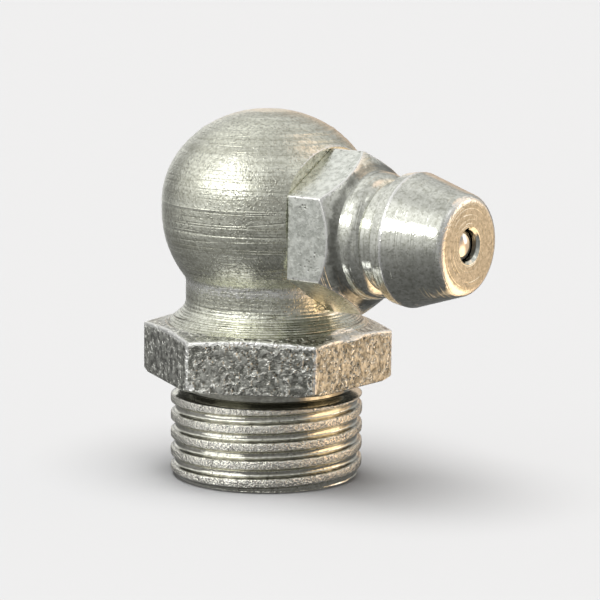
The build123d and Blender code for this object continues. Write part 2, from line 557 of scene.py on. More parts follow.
class Effects:
    """Surface effects that the finishes share: node groups on coordinates in millimetres, axis along Z."""

    def __init__(self) -> None:
        """Build the groups once. Worn edges with painted highlights get a finer, deeper border than painted
        shade.
        """
        self.rings, self.flecks = self.turned_rings(), self.tumbled_flecks()
        # Worn edges that also carry painted highlights, and painted shade in recesses.
        self.wear_and_highlight = self.frayed("worn edges", 7.0, 1.3, 0.3, 0.75)
        self.painted_shade = self.frayed("dulled recesses", 4.0, 0.5, 0.0, 1.0)

    @staticmethod
    def turned_rings() -> Tree:
        """Lathe rings: noise over radius and height, which changes slowly on its way round the axis.

        A drawn line is where a third noise of the same kind crosses its middle value, broken by clouds. The
        feed mark is a wave along height less radius, whose phase wanders with the wide noise.

        Returns:
            The node group.
        """
        group = Group("turned rings", ["Vector", "Density", "Drift"], ["Height", "Streak", "Line", "Feed"])
        place, density, drift = group.given
        feed_pitch, phase_drift = 0.22, 9.0
        x, y, z = group.split(place)
        flat = group.join(x, y)
        radius = group.vector("LENGTH", flat, out=1)
        across, ahead, _ = group.split(group.vector("NORMALIZE", flat))
        level = group.join(radius * density, z * density, across * drift)
        fine, wide, drawn = (group.noise(level, scale, detail, roughness, ahead * drift)
                             for scale, detail, roughness in ((1.0, 2, 0.6), (0.23, 1, 0.5), (0.62, 0, 0.5)))
        line = abs(drawn - 0.5).span(0.045, 0.008) * group.noise(place, 0.45, 1).span(0.38, 0.62, 0.15, 1.0)
        phase = (z - radius) * (2 * math.pi / feed_pitch) + wide * phase_drift
        feed = phase.maths("SINE") * group.noise(place, 0.9, 1).span(0.3, 0.6, 0.35, 1.0)
        return group.give(Height=fine, Streak=wide, Line=line, Feed=feed)

    @staticmethod
    def tumbled_flecks() -> Tree:
        """Marks from tumbling: worm-like flecks and dark pits on a mottled ground.

        A fleck is where one noise crosses its middle value, kept only where a second noise is high. A pit is
        the middle of a cell of uneven size.

        Returns:
            The node group.
        """
        group = Group("tumbled flecks", ["Vector", "Size"], ["Height", "Ground", "Fleck", "Pit"])
        place, size = group.given
        point = group.scaled(place, group.add("ShaderNodeMath", {0: 1.0, 1: size}, operation="DIVIDE"))
        ground = group.noise(point, 1.0, 4, 0.6)
        kept = group.noise(group.vector("ADD", point, (31.0, 7.0, 3.0)), 1.0, 1).span(0.48, 0.6)
        fleck = abs(group.noise(point, 0.62, 2, 0.5) - 0.5).span(0.085, 0.02) * kept
        cells = group.add("ShaderNodeTexVoronoi", {"Vector": point, "Scale": 1.3, "Randomness": 1.0})
        pit = cells.span(0.42, 0.16) * group.noise(point, 0.3, 2).span(0.5, 0.64)
        return group.give(Height=ground + fleck * 0.5 - pit, Ground=ground, Fleck=fleck, Pit=pit)

    @staticmethod
    def frayed(name: str, scale: float, depth: float, low: float, high: float) -> Tree:
        """A piece's own mask with an uneven border.

        Args:
            name: Name of the group.
            scale: Scale of the noise that eats into the mask.
            depth: Depth of that noise.
            low: Value that becomes nought.
            high: Value that becomes 1.

        Returns:
            The node group.
        """
        group = Group(name, ["Vector", "Share"], ["Mask"])
        place, share = group.given
        return group.give(Mask=(share + (group.noise(place, scale, 3, 0.6) - 0.5) * depth).span(low, high))


def start_material(name: str) -> tuple[Material, Graph, Signal]:
    """Start a material on an empty node tree.

    Args:
        name: Name of the material.

    Returns:
        The material, its graph, and its Object coordinates in millimetres.
    """
    material = bpy.data.materials.new(name)
    material.use_nodes = True
    graph = Graph(material.node_tree)
    return material, graph, graph.scaled(graph.add("ShaderNodeTexCoord", out="Object"), 1 / MM)


@dataclass(frozen=True)
class ZincFinish:
    """Zinc plating over turned or tumbled steel; lengths in millimetres, heights in micrometres."""

    name: str
    axis: Axis
    light: Colour = (0.93, 0.94, 0.82)
    dark: Colour = (0.55, 0.55, 0.45)
    fleck: Colour = (0.40, 0.40, 0.33)
    # Colour of worn zinc, which also paints highlights on edges, rims and the neck's top.
    wear_and_highlight: Colour = (0.97, 0.97, 0.93)
    # Colour of pits, which also paints the shade in recesses and under the hexagon.
    pit_and_shade: Colour = (0.13, 0.13, 0.11)
    drawn: Colour = (0.26, 0.25, 0.19)
    smoothest: float = 0.13
    roughest: float = 0.27
    rings_per_mm: float = 7.0
    ring_drift: float = 0.9
    ring_height: float = 7.0
    line_height: float = -18.0
    coarse_below: float = -10.0
    coarse_gain: float = 3.0
    feed_height: float = 10.0
    ring_share: float = 0.5
    line_share: float = 0.12
    coarse_line_share: float = 0.7
    contrast: float = 0.15
    fleck_size: float = 0.17
    fleck_height: float = 14.0
    fleck_share: float = 0.5
    pit_share: float = 0.5
    worn_height: float = 10.0
    worn_roughness: float = 0.32

    def make(self, effects: Effects) -> Material:
        """Build the material.

        The ground is a mix of rings and mottling. Flecks, drawn lines, worn edges with painted highlights,
        pits and painted shade in recesses lie over it in this order, each by its own mask. Rings and flecks
        also lift the surface. Below coarse_below along the axis the rings stand higher, and more drawn lines
        and the feed marks show.

        Args:
            effects: The shared node groups.

        Returns:
            The finished material.
        """
        material, graph, place = start_material(self.name)
        if self.axis is Axis.NIPPLE:
            x, y, z = graph.split(place)
            place = graph.join(y, z - NIPPLE_AXIS_Z, x)
        rings = graph.group(effects.rings, Vector=place, Density=self.rings_per_mm, Drift=self.ring_drift)
        flecks = graph.group(effects.flecks, Vector=place, Size=self.fleck_size)
        # Two masks: wear with painted highlights along the edges, and painted shade in the recesses.
        wear_and_highlight, painted_shade = (graph.group(tree, Vector=place, Share=graph.add(
            "ShaderNodeAttribute", out="Fac", attribute_name=mask))["Mask"]
            for tree, mask in ((effects.wear_and_highlight, "edge"), (effects.painted_shade, "recess")))
        coarse = graph.split(place)[2].span(self.coarse_below + 0.6, self.coarse_below - 0.3)
        tone = graph.mix(self.ring_share, flecks["Ground"], rings["Height"] * 0.55 + rings["Streak"] * 0.45)
        colour = graph.blend(tone.span(0.5 - self.contrast, 0.5 + self.contrast), self.dark, self.light)
        # Over the ground: flecks, drawn lines, painted highlights on worn edges, pits, then painted shade in
        # recesses.
        for share, over in (
                (flecks["Fleck"] * self.fleck_share, self.fleck),
                (rings["Line"] * (coarse * self.coarse_line_share + self.line_share), self.drawn),
                (wear_and_highlight, self.wear_and_highlight), (flecks["Pit"] * self.pit_share, self.pit_and_shade), (painted_shade, self.pit_and_shade)):
            colour = graph.blend(share, colour, over)
        clouds = graph.noise(place, 0.55, 3)
        rough = (tone * 0.5 + clouds * 0.5).span(0.36, 0.64, self.smoothest, self.roughest)
        rough = graph.mix(wear_and_highlight, rough, self.worn_roughness)
        turned = rings["Height"] * self.ring_height + rings["Line"] * self.line_height
        turned = turned * (coarse * self.coarse_gain + 1.0) + rings["Feed"] * coarse * self.feed_height
        normal = graph.add("ShaderNodeBump", {"Height": turned, "Distance": MICROMETRE})
        relief = flecks["Height"] * graph.mix(wear_and_highlight, self.fleck_height, self.worn_height)
        normal = graph.add("ShaderNodeBump", {"Height": relief, "Normal": normal, "Distance": MICROMETRE})
        graph.metal(colour, rough, normal)
        return material


@dataclass(frozen=True)
class SteelFinish:
    """Bare steel: polished for the ball, drawn for the wire; relief in micrometres."""

    name: str
    light: Colour
    dark: Colour
    smoothest: float
    roughest: float
    grain: float
    relief: float

    def make(self, effects: Effects) -> Material:
        """Build the material from mottled tone, roughness and fine relief.

        Args:
            effects: The shared node groups.

        Returns:
            The finished material.
        """
        material, graph, place = start_material(self.name)
        flecks = graph.group(effects.flecks, Vector=place, Size=self.grain)
        ground = flecks["Ground"]
        normal = graph.add("ShaderNodeBump", {"Height": flecks["Height"],
                                              "Distance": self.relief * MICROMETRE})
        graph.metal(graph.blend(ground.span(0.35, 0.65), self.dark, self.light),
                    ground.span(0.35, 0.65, self.smoothest, self.roughest), normal)
        return material


@dataclass(frozen=True)
class Finishes:
    """Every finish of the fitting, by the surface it goes on."""

    turned: ZincFinish = ZincFinish("turned zinc", Axis.SHANK, coarse_below=8.9)
    hexagon: ZincFinish = ZincFinish(
        "tumbled zinc flats", Axis.SHANK, light=(0.66, 0.66, 0.60), dark=(0.24, 0.24, 0.21), smoothest=0.22,
        roughest=0.38, ring_height=0.0, line_height=0.0, ring_share=0.0, line_share=0.0, contrast=0.13,
        fleck=(1.0, 1.0, 0.92), fleck_size=0.30, fleck_height=110.0, fleck_share=1.0, pit_share=0.2,
        worn_height=60.0)
    thread: ZincFinish = ZincFinish(
        "rolled zinc thread", Axis.SHANK, light=(0.96, 0.95, 0.85), dark=(0.66, 0.65, 0.55),
        wear_and_highlight=(0.97, 0.95, 0.86), smoothest=0.08, roughest=0.16, rings_per_mm=9.0, ring_drift=2.5,
        ring_height=2.0, line_height=0.0, line_share=0.0, fleck_size=0.15, fleck_height=4.0, fleck_share=0.1,
        pit_share=0.7, worn_height=60.0, worn_roughness=0.18)
    nipple_turned: ZincFinish = ZincFinish(
        "nipple turned zinc", Axis.NIPPLE, light=(0.92, 0.93, 0.85), dark=(0.66, 0.67, 0.59), smoothest=0.07,
        roughest=0.17, ring_height=2.5, line_height=-6.0, fleck_height=2.0, ring_share=0.3, line_share=0.1,
        fleck_size=0.2, pit_share=0.2, worn_roughness=0.2)
    nipple_flats: ZincFinish = ZincFinish(
        "nipple satin zinc flats", Axis.NIPPLE, light=(0.97, 0.99, 0.92), dark=(0.68, 0.70, 0.64),
        smoothest=0.24, roughest=0.36, ring_height=0.0, line_height=0.0, ring_share=0.0, line_share=0.0,
        contrast=0.12, fleck_size=0.26, fleck_height=10.0, fleck_share=0.12, pit_share=0.6)
    ball: SteelFinish = SteelFinish("polished ball steel", (0.86, 0.85, 0.83), (0.74, 0.73, 0.71), 0.06, 0.12,
                                    0.3, 0.1)
    wire: SteelFinish = SteelFinish("drawn wire steel", (0.58, 0.58, 0.57), (0.42, 0.42, 0.41), 0.25, 0.4,
                                    0.15, 1.0)


# Sub-assemblies


@dataclass(frozen=True)
class Dent:
    """Small dent in the body: bearing round the thread axis in degrees, height, half sizes and depth."""

    angle: float
    height: float
    half_width: float
    half_height: float
    depth: float


@dataclass
class ElbowBody:
    """Hexagon bar turned down to a threaded shank, a waisted neck and a ball head, in millimetres."""

    hexagon: Hexagon = Hexagon(11.0, 0.15)
    thread_major_r: float = 4.864
    thread_pitch: float = 0.907
    thread_rows: int = 136
    crest_height_at_zero: float = 0.684
    crest_half_width: float = 0.185
    crest_unevenness: float = 0.008
    crest_crown: float = 0.014
    crest_softness: float = 0.014
    root_r: float = 4.60
    root_hollow: float = 0.008
    root_half_width: float = 0.16
    flank_angle: float = math.radians(27.5)
    end_chamfer_r: float = 4.52
    end_chamfer_length: float = 0.34
    run_out_z: tuple[float, float] = (4.20, 4.50)
    relief_r: float = 4.2
    hex_bottom_z: float = 5.07
    hex_edge_top_z: float = 7.58
    hex_bottom_r: float = 5.97
    hex_bottom_break: float = 0.09
    top_edge_angle: float = math.radians(10)
    top_break_r: float = 5.15
    top_break_rounding: float = 1.6
    top_shared_r: float = 5.1
    neck_r: float = 4.12
    neck_foot_z: float = 8.64
    neck_foot_rounding: float = 1.3
    neck_top_rounding: float = 0.5
    ball_r: float = 5.34
    ball_centre_z: float = 13.5
    crown_base_z: float = 13.9
    crown_height: float = 4.7
    top_flat_r: float = 0.95
    ball_marks: tuple[tuple[float, float], ...] = (
        (12.82, -0.025), (13.62, 0.035), (13.77, -0.035), (14.05, 0.02), (17.2, -0.02), (17.62, 0.025))
    mark_width: float = 0.045
    dents: tuple[Dent, ...] = (Dent(356.5, 7.76, 0.95, 0.26, 0.20), Dent(329.6, 7.2, 0.10, 0.24, 0.07),
                               Dent(271.5, 5.36, 0.16, 0.14, 0.05))
    passage_r: float = 1.5
    passage_mouth: float = 0.2
    spot_face_x: float = 3.93
    spot_face_r: float = 4.125
    cross_bore_r: float = 3.0
    cross_bore_x: float = 1.13
    feed_bore_r: float = 2.5
    feed_bore_x: float = -1.77
    drill_tip_x: float = -3.272

    def thread_radius(self, angles: Array, height: Array) -> Array:
        """Radius of the thread's surface.

        A right-handed 55 degree form: the distance from the nearest crest is the height less the crest's own
        height, which climbs one pitch for each turn. The crest is a low crown of uneven width, as a worn die
        leaves it, the flanks are straight, and the groove's floor is a worn flat with a slight hollow. Crest
        and flank meet in the smooth minimum of the two, (a + b) / 2 - sqrt(((a - b) / 2)^2 + softness^2),
        and flank and floor in the smooth maximum. The whole is kept under the end chamfer, a cone, and under
        the run-out, a smooth step from the crests to the relief groove.

        Args:
            angles: Polar angles in radians.
            height: Heights above the end face.

        Returns:
            Radius at each angle and height.
        """
        pitch, slope, soft = self.thread_pitch, 1 / math.tan(self.flank_angle), self.crest_softness
        climb = self.crest_height_at_zero + pitch * angles / (2 * math.pi)
        off = np.abs(np.mod(height - climb + pitch / 2, pitch) - pitch / 2)
        uneven = (np.sin(23 * angles + 9 * height) + np.sin(41 * angles - 14 * height + 1) + np.sin(
            59 * angles + 5 * height + 2)) / 3
        flank = self.thread_major_r - slope * (off - self.crest_half_width - self.crest_unevenness * uneven)
        crest = self.thread_major_r - self.crest_crown * np.minimum(off / self.crest_half_width, 1.5) ** 2
        form = (crest + flank) / 2 - np.hypot((crest - flank) / 2, soft)
        hollow = np.minimum((pitch / 2 - off) / self.root_half_width, 1.5) ** 2 - 1
        floor = self.root_r + self.root_hollow * hollow
        form = (form + floor) / 2 + np.hypot((form - floor) / 2, soft * 1.6)
        rise = np.clip(height / self.end_chamfer_length, 0, 2)
        end_cone = self.end_chamfer_r + (self.thread_major_r - self.end_chamfer_r) * rise
        start, end = self.run_out_z
        fall = np.clip((height - start) / (end - start), 0, 1)
        run_out = self.thread_major_r + (self.relief_r - self.thread_major_r) * fall**2 * (3 - 2 * fall)
        return np.minimum(form, np.minimum(end_cone, run_out))

    def neck_foot(self) -> Array:
        """Turned top from beyond the hexagon's corners up to the foot of the ball.

        Returns:
            Radius and height, with falling radius.
        """
        outer = self.hexagon.corner + 0.2

        def sloped(radius: float) -> Array:
            """Point of the flat outer cone at a radius."""
            return pairs(radius, self.hex_edge_top_z + (self.hexagon.corner - radius) * math.tan(
                self.top_edge_angle), 1)

        return rounded_outline([
            Corner(sloped(outer)), Corner(sloped(self.top_break_r), 6, self.top_break_rounding, 10),
            Corner(pairs(self.neck_r, self.neck_foot_z, 1), 8, self.neck_foot_rounding, 14),
            Corner(pairs(self.neck_r, self.ball_foot_z(), 1), 4)])[:, 0]

    def neck_top_drop(self) -> float:
        """Height from the centre of the small rounding under the ball up to the ball's centre."""
        small = self.neck_top_rounding
        return math.sqrt((self.ball_r + small) ** 2 - (self.neck_r + small) ** 2)

    def ball_foot_z(self) -> float:
        """Height at which the neck turns into the small rounding under the ball."""
        return self.ball_centre_z - self.neck_top_drop()

    def top_edge_height(self, radius: Array) -> Array:
        """Height of the turned top at a radius."""
        known, height = self.neck_foot()[::-1].T
        return np.interp(radius, known, height)

    def outline(self, angles: Array) -> Array:
        """Outline of the body from the end face to the top flat.

        Below the ball it is straight runs with rounded corners, whose hexagon part follows the hexagon's
        radius at each angle. The ball is a circle, then a short land, then a quarter of an ellipse.

        Args:
            angles: Polar angles in radians.

        Returns:
            Radius and height shaped (rows, angles, 2).
        """
        count = len(angles)
        flat_r = self.hexagon.radius(angles)
        heights = np.linspace(0, self.run_out_z[1], self.thread_rows)[:, None] + 0 * angles
        thread = np.stack((self.thread_radius(angles, heights), heights), -1)
        end_face = run(pairs(0.6, 0, count), thread[0], 4)[:-1]
        under_r = np.minimum(flat_r - self.hex_bottom_break, self.hex_bottom_r)
        under_edge = self.hex_bottom_z + (flat_r - under_r) / math.tan(SIXTH)
        small, drop = self.neck_top_rounding, self.neck_top_drop()
        toward_ball = math.atan2(drop, -(self.neck_r + small))
        turn = np.linspace(math.pi, toward_ball, 6)[1:, None] + 0 * angles
        neck_top = np.stack((self.neck_r + small + small * np.cos(turn),
                             self.ball_centre_z - drop + small * np.sin(turn)), -1)
        inner_r = flat_r - 0.2
        hexagon = rounded_outline([
            Corner(thread[-1]),
            Corner(pairs(self.relief_r, self.hex_bottom_z, count), 5, 0.12),
            Corner(pairs(under_r, self.hex_bottom_z, count), 7),
            Corner(pairs(flat_r, under_edge, count)),
            Corner(pairs(flat_r, self.top_edge_height(flat_r), count), 26, 0.13, 6),
            Corner(pairs(inner_r, self.top_edge_height(inner_r), count), 2)])
        radius = inner_r + (self.top_shared_r - inner_r) * np.linspace(0, 1, 9)[1:, None]
        top_ring = np.stack((radius, self.top_edge_height(radius)), -1)
        foot = self.neck_foot()
        foot = foot[foot[:, 0] < self.top_shared_r - 0.02][:, None] + np.zeros((1, count, 1))
        low = self.marked(toward_ball - math.pi, 0, 26, self.ball_centre_z, self.ball_r)[1:]
        crown_end = math.acos(self.top_flat_r / self.ball_r)
        high = self.marked(0, crown_end, 40, self.crown_base_z, self.crown_height)
        ball = self.turned_form(low[:, None] + 0 * angles, self.ball_centre_z, self.ball_r)
        crown = self.turned_form(high[:, None] + 0 * angles, self.crown_base_z, self.crown_height)
        top = run(crown[-1], pairs(0.25, crown[-1, 0, 1], count), 3)
        return np.concatenate((end_face, thread, hexagon[1:], top_ring, foot, neck_top, ball, crown, top))

    def marked(self, start: float, end: float, steps: int, base: float, tall: float) -> Array:
        """Steps of an arc's angle, evenly spaced, with more of them over each tool mark.

        Args:
            start: Angle at which the arc starts.
            end: Angle at which it ends.
            steps: Number of evenly spaced angles.
            base: Height of the arc's centre.
            tall: Its upright half-axis.

        Returns:
            Rising angles in radians.
        """
        offsets = np.linspace(-1.8, 1.8, 7) * self.mark_width
        near = [np.arcsin(np.clip((height + offsets - base) / tall, -1, 1)) for height, _ in self.ball_marks]
        angles = np.concatenate([np.linspace(start, end, steps), *near])
        angles = np.unique(np.round(angles[(angles >= start) & (angles <= end)], 5))
        return angles[np.append(True, np.diff(angles) > 1e-3)]

    def turned_form(self, turn: Array, base: float, tall: float) -> Array:
        """Part of the ball's outline with its tool marks: radius r cos(t) and height base + tall sin(t).

        Each mark is a narrow bell along the height, raised or sunk along the surface's own direction.

        Args:
            turn: The arc's angle t.
            base: Height of the arc's centre.
            tall: Its upright half-axis.

        Returns:
            Radius and height for each angle.
        """
        height = base + tall * np.sin(turn)
        swell = sum(depth * bell(height - place, self.mark_width) for place, depth in self.ball_marks)
        return np.stack(((self.ball_r + swell) * np.cos(turn), height + swell * np.sin(turn)), -1)

    def dent_reach(self, points: Array) -> Iterator[tuple[Dent, Array]]:
        """How far every point lies from each dent's middle.

        Args:
            points: Points of the body, in millimetres.

        Returns:
            Each dent in turn with q, the squared distance of every point in the dent's half sizes.
        """
        angle, radius, height = polar(points, Axis.SHANK)
        for dent in self.dents:
            off = (np.mod(angle - math.radians(dent.angle) + math.pi, 2 * math.pi) - math.pi) * radius
            yield dent, (off / dent.half_width) ** 2 + ((height - dent.height) / dent.half_height) ** 2

    def dented(self, points: Array) -> Array:
        """Points pushed in by each dent: depth (1 - q)^2 inside the ellipse q < 1, and a low rim round it.

        Args:
            points: Points of the body, in millimetres.

        Returns:
            The points after the dents.
        """
        _, radius, height = polar(points, Axis.SHANK)
        push = sum(dent.depth * (np.where(q < 1, (1 - q) ** 2, 0) - 0.25 * bell(np.sqrt(q) - 1.15, 0.18))
                   for dent, q in self.dent_reach(points))
        push *= (radius > self.neck_r + 0.3) & (height > self.hex_bottom_z)
        scale = 1 - push / np.maximum(radius, 1)
        return points * np.stack((scale, scale, np.ones_like(scale)), -1)

    def bores(self) -> list[Piece]:
        """Profiles turned about the shank and the nipple's axis, for the inside of the body.

        Returns:
            Cutters for the grease passage and for the cross bore with its spot-face.
        """
        angles = np.linspace(0, 2 * math.pi, 96, endpoint=False)
        count = len(angles)
        mouth, below, beyond = self.passage_r + self.passage_mouth, 0.5, 7.0
        passage = rounded_outline([
            Corner(pairs(mouth + below, -below, count)),
            Corner(pairs(self.passage_r, self.passage_mouth, count)),
            Corner(pairs(self.passage_r, NIPPLE_AXIS_Z, count), 6)])
        way = Skin.over(spin(passage, angles, Axis.SHANK), ((0, 0, -below), (0, 0, NIPPLE_AXIS_Z)))
        steps = [(self.feed_bore_r, self.feed_bore_x), (self.feed_bore_r, self.cross_bore_x),
                 (self.cross_bore_r, self.cross_bore_x), (self.cross_bore_r, self.spot_face_x),
                 (self.spot_face_r, self.spot_face_x), (self.spot_face_r, beyond)]
        drill = rounded_outline([Corner(pairs(*step, count), 2) for step in steps])
        ends = ((self.drill_tip_x, 0, NIPPLE_AXIS_Z), (beyond, 0, NIPPLE_AXIS_Z))
        bore = Skin.over(spin(drill, angles, Axis.NIPPLE), ends)
        return [way.to_object("passage cutter"), bore.to_object("cross bore cutter")]

    def wear_and_highlight_mask(self, points: Array) -> Array:
        """How near each point lies to a worn edge with a painted highlight.

        These are the hexagon's corners and the top and bottom edges of its flats, the thread's crests and
        lip, the dents, the spot-face's rim and the neck's top. The hexagon's edges are worn and also
        brightened as painted highlights; the spot-face's rim and the neck's top are painted highlights only.

        Args:
            points: Vertices in millimetres.

        Returns:
            Share of the worn look and painted highlight at each vertex.
        """
        angles, radius, height = polar(points, Axis.SHANK)
        flat_r = self.hexagon.radius(angles)
        on_hexagon = (height > self.hex_bottom_z) & (height < self.neck_foot_z)
        corner = self.hexagon.corner_wear(angles, radius, 0.11) * on_hexagon
        top = bell(np.hypot(radius - flat_r, height - self.top_edge_height(flat_r)), 0.19)
        low = bell(np.hypot(radius - flat_r, height - self.hex_bottom_z), 0.08)
        from_nipple = polar(points, Axis.NIPPLE)[1]
        # Painted highlight along the spot-face's rim.
        spot = bell(from_nipple - self.spot_face_r, 0.1) * (points[:, 0] > self.spot_face_x + 0.05)
        crest = np.clip((radius - self.thread_major_r + 0.085) / 0.04, 0, 1) * (height < self.run_out_z[1])
        lip = bell(height, 0.1) * (radius > self.end_chamfer_r - 0.1)
        # Painted highlight along the neck's top.
        neck = bell(height - self.ball_foot_z(), 0.45) * (radius < self.neck_r + 0.4)
        dents = [(q < 1.2) & (radius > self.neck_r + 0.3) for _, q in self.dent_reach(points)]
        bared = np.maximum.reduce(dents) * 1.2
        return np.maximum.reduce((corner, top, low * 0.8, crest * 0.7, lip * 0.7, bared, spot, neck * 0.62))

    def painted_shade_mask(self, points: Array) -> Array:
        """How much painted shade each point gets, where shade falls in recesses and under the hexagon.

        These are the crests' borders, the relief groove, the hexagon's underside and the spot-face.

        Args:
            points: Vertices in millimetres.

        Returns:
            Share of the painted shade at each vertex.
        """
        _, radius, height = polar(points, Axis.SHANK)
        depth = self.thread_major_r - radius
        # Painted shade: beside the crests, in the relief groove, under the hexagon and a little in the
        # spot-face.
        border = bell(depth - 0.14, 0.06) * (height < self.run_out_z[0])
        groove = np.clip((height - self.run_out_z[1] + 0.12) / 0.1, 0, 1)
        groove *= (height < self.hex_bottom_z - 0.02) & (depth > 0.3)
        under = np.clip((self.hex_bottom_r - radius) / 0.5, 0, 1)
        under *= np.abs(height - self.hex_bottom_z) < 0.02
        from_nipple = polar(points, Axis.NIPPLE)[1]
        inside = (points[:, 0] > self.spot_face_x - 0.01) & (from_nipple < self.spot_face_r + 0.01)
        return np.maximum.reduce((border * 0.75, groove * 0.45, under, inside * 0.1))

    def build(self, finishes: Finishes, effects: Effects) -> None:
        """Build and dress the body.

        Args:
            finishes: Finishes of the fitting.
            effects: Shared node groups.
        """
        near = [np.radians(dent.angle) + np.linspace(-1.3, 1.3, 9) * dent.half_width * 2 /
                self.hexagon.across_flats for dent in self.dents]
        angles = np.unique(np.round(np.concatenate((self.hexagon.angles(6, 36), *near)), 5))
        angles = angles[np.append(True, np.diff(angles) > 2e-3)]
        grid = self.dented(spin(self.outline(angles), angles, Axis.SHANK))
        piece = Skin.over(grid, ((0, 0, 0), (0, 0, grid[-1, 0, 2]))).to_object("elbow_body_skin")
        for cutter in self.bores():
            cut(piece, cutter)
        angle, radius, height = polar(read_points(piece.data.polygons, "center"), Axis.SHANK)
        outside = radius > np.minimum(self.hexagon.radius(angle) - 0.06, self.top_break_r)
        on_hexagon = outside & (height > self.hex_bottom_z - 0.01) & (height < self.neck_foot_z)
        finish = np.where(height < self.hex_bottom_z + 0.01, 2, np.where(on_hexagon, 1, 0))
        points = read_points(piece.data.vertices, "co")
        dress(piece, Body.FITTING, "elbow_body", "body_zinc",
              [part.make(effects) for part in (finishes.turned, finishes.hexagon, finishes.thread)], finish,
              edge=self.wear_and_highlight_mask(points), recess=self.painted_shade_mask(points))


@dataclass
class Nipple:
    """Press-in grease nipple: stub, hexagon, collar, shoulder, neck and coupler head, in millimetres."""

    hexagon: Hexagon = Hexagon(7.04, 0.1)
    stub_end_x: float = 1.53
    stub_r: float = 2.98
    stub_chamfer: float = 0.3
    stub_relief_r: float = 2.45
    stub_relief_x: float = 3.43
    seat_x: float = 3.93
    hex_front_x: float = 5.87
    chamfer_angle: float = math.radians(42)
    collar_back_r: float = 3.17
    collar_front_r: float = 3.12
    collar_back_x: float = 6.68
    collar_front_x: float = 6.82
    shoulder_end_x: float = 7.7027
    shoulder_radius: float = 0.95
    neck_r: float = 2.70
    neck_front_x: float = 8.25
    head_back_x: float = 8.62
    head_back_r: float = 3.20
    head_edge_x: float = 9.25
    head_r: float = 3.29
    face_x: float = 12.1827
    front_r: float = 2.38
    rim_rounding: float = 0.47
    countersink_r: float = 0.9
    orifice_r: float = 0.75
    orifice_front_x: float = 12.0327
    orifice_back_x: float = 11.8327
    seat_back_x: float = 11.0827
    valve_bore_r: float = 1.5
    tail_lip_x: float = 1.88
    tail_lip_r: float = 0.95
    tail_end_r: float = 2.2

    def chamfer_start(self, radius: Array) -> Array:
        """Where the turned chamfer meets the hexagon's surface at this radius."""
        return self.hex_front_x + (self.hexagon.corner - radius) * math.tan(self.chamfer_angle)

    def outline(self, angles: Array) -> Array:
        """Outline of the nipple as one closed loop: along the outside to the face, and back through the bore.

        The shoulder is an arc about the point that lies its radius from both of its ends.

        Args:
            angles: Polar angles in radians.

        Returns:
            Radius and place along the axis, shaped (rows, angles, 2).
        """
        count = len(angles)
        flat_r = self.hexagon.radius(angles)

        def at(radius: Any, along: Any, *rest: Any) -> Corner:
            """Corner at every angle."""
            return Corner(pairs(radius, along, count), *rest)

        outside = rounded_outline([
            at(self.tail_end_r, self.stub_end_x), at(self.stub_r - self.stub_chamfer, self.stub_end_x, 2),
            at(self.stub_r, self.stub_end_x + self.stub_chamfer, 2), at(self.stub_r, self.stub_relief_x, 5),
            at(self.stub_relief_r, self.stub_relief_x, 2), at(self.stub_relief_r, self.seat_x, 2),
            at(flat_r, self.seat_x, 5, 0.08, 4), at(flat_r, self.chamfer_start(flat_r), 16, 0.1, 4),
            at(self.collar_back_r, self.collar_back_x, 3, 0.05, 4),
            at(self.collar_front_r, self.collar_front_x, 8)])
        start = np.array((self.collar_front_x, self.collar_front_r))
        end = np.array((self.shoulder_end_x, self.neck_r))
        chord = end - start
        half = np.linalg.norm(chord) / 2
        bulge = np.array((-chord[1], chord[0])) / (2 * half)
        centre = (start + end) / 2 - bulge * math.sqrt(self.shoulder_radius**2 - half**2)
        first, last = (math.atan2(*(point - centre)[::-1]) for point in (start, end))
        turn = np.linspace(first, last, 13)[1:, None] + 0 * angles
        shoulder = np.stack((centre[1] + self.shoulder_radius * np.sin(turn),
                             centre[0] + self.shoulder_radius * np.cos(turn)), -1)
        head = rounded_outline([
            Corner(shoulder[-1]), at(self.neck_r, self.neck_front_x, 5, 0.1),
            at(self.head_back_r, self.head_back_x, 5, 0.08), at(self.head_r, self.head_edge_x, 6, 0.1),
            at(self.front_r, self.face_x, 22, self.rim_rounding, 9),
            at(self.countersink_r, self.face_x, 6, 0.06),
            at(self.orifice_r, self.orifice_front_x, 4), at(self.orifice_r, self.orifice_back_x, 3),
            at(self.valve_bore_r, self.seat_back_x, 6), at(self.valve_bore_r, self.tail_lip_x, 20),
            at(self.tail_lip_r, self.tail_lip_x, 2), at(self.tail_lip_r, self.stub_end_x, 2),
            at(self.tail_end_r, self.stub_end_x, 3)])
        return np.concatenate((outside, shoulder, head[1:-1]))

    def wear_and_highlight_mask(self, points: Array) -> Array:
        """How near each point lies to a worn edge with a painted highlight: the hexagon's corners, the
        chamfer's and head's edges, and the face's rim.

        Args:
            points: Vertices in millimetres.

        Returns:
            Share of the worn look and painted highlight at each vertex.
        """
        angles, radius, along = polar(points, Axis.NIPPLE)
        flat_r = self.hexagon.radius(angles)
        front = self.chamfer_start(flat_r)
        on_hexagon = (along > self.seat_x) & (along < front + 0.02)
        corner = self.hexagon.corner_wear(angles, radius, 0.08) * on_hexagon
        # The chamfer's rim, the head's edges and the face's rim also carry painted highlights.
        rim = bell(np.hypot(radius - flat_r, along - front), 0.07)
        head_edge = bell(np.hypot(radius - self.head_r, along - self.head_edge_x), 0.10)
        head_back = bell(np.hypot(radius - self.head_back_r, along - self.head_back_x), 0.06)
        face_rim = bell(radius - self.front_r + 0.12, 0.2) * (along > self.face_x - 0.5)
        return np.maximum.reduce((corner, rim, head_edge, head_back * 0.6, face_rim * 0.8))

    def painted_shade_mask(self, points: Array) -> Array:
        """How much painted shade each point gets in the collar, the groove behind the head and the bore; the
        face is darkened a little too.

        Args:
            points: Vertices in millimetres.

        Returns:
            Share of the painted shade at each vertex.
        """
        _, radius, along = polar(points, Axis.NIPPLE)
